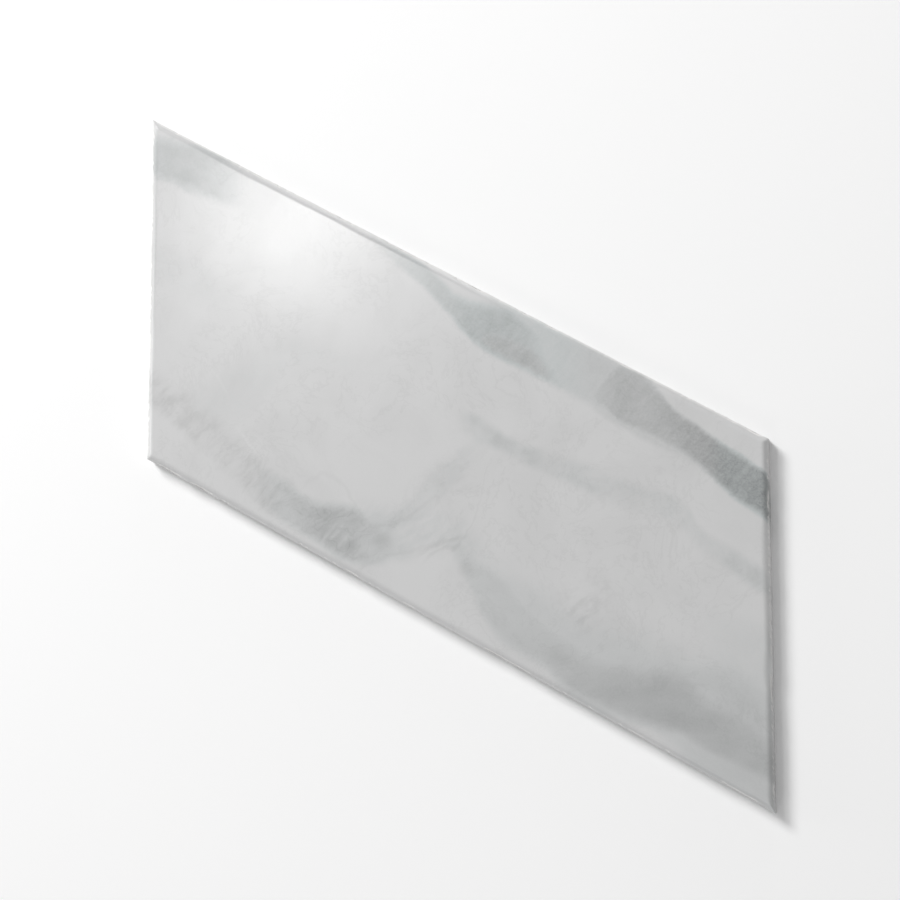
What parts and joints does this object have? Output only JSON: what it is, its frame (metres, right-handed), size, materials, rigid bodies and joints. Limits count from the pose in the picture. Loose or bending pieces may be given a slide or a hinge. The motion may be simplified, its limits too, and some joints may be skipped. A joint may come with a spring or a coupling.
{
  "type": "chevron wall tile",
  "caption": "Flat parallelogram of veined white marble with a polished, bevel-edged face, laid beside its mirror image to make a zigzag wall covering.",
  "frame": {"origin": "middle of the flat back, on the plane that is bedded on the wall", "axes": "+Z out of the polished face, +Y along the upright seam sides (up the wall as laid), +X square across the column; the long sides fall towards +X"},
  "size_m": [0.3034, 0.3414, 0.01],
  "materials": {
    "marble": "satin"
  },
  "bodies": {
    "root": {"chevron_tile": "marble"}
  },
  "joints": []
}
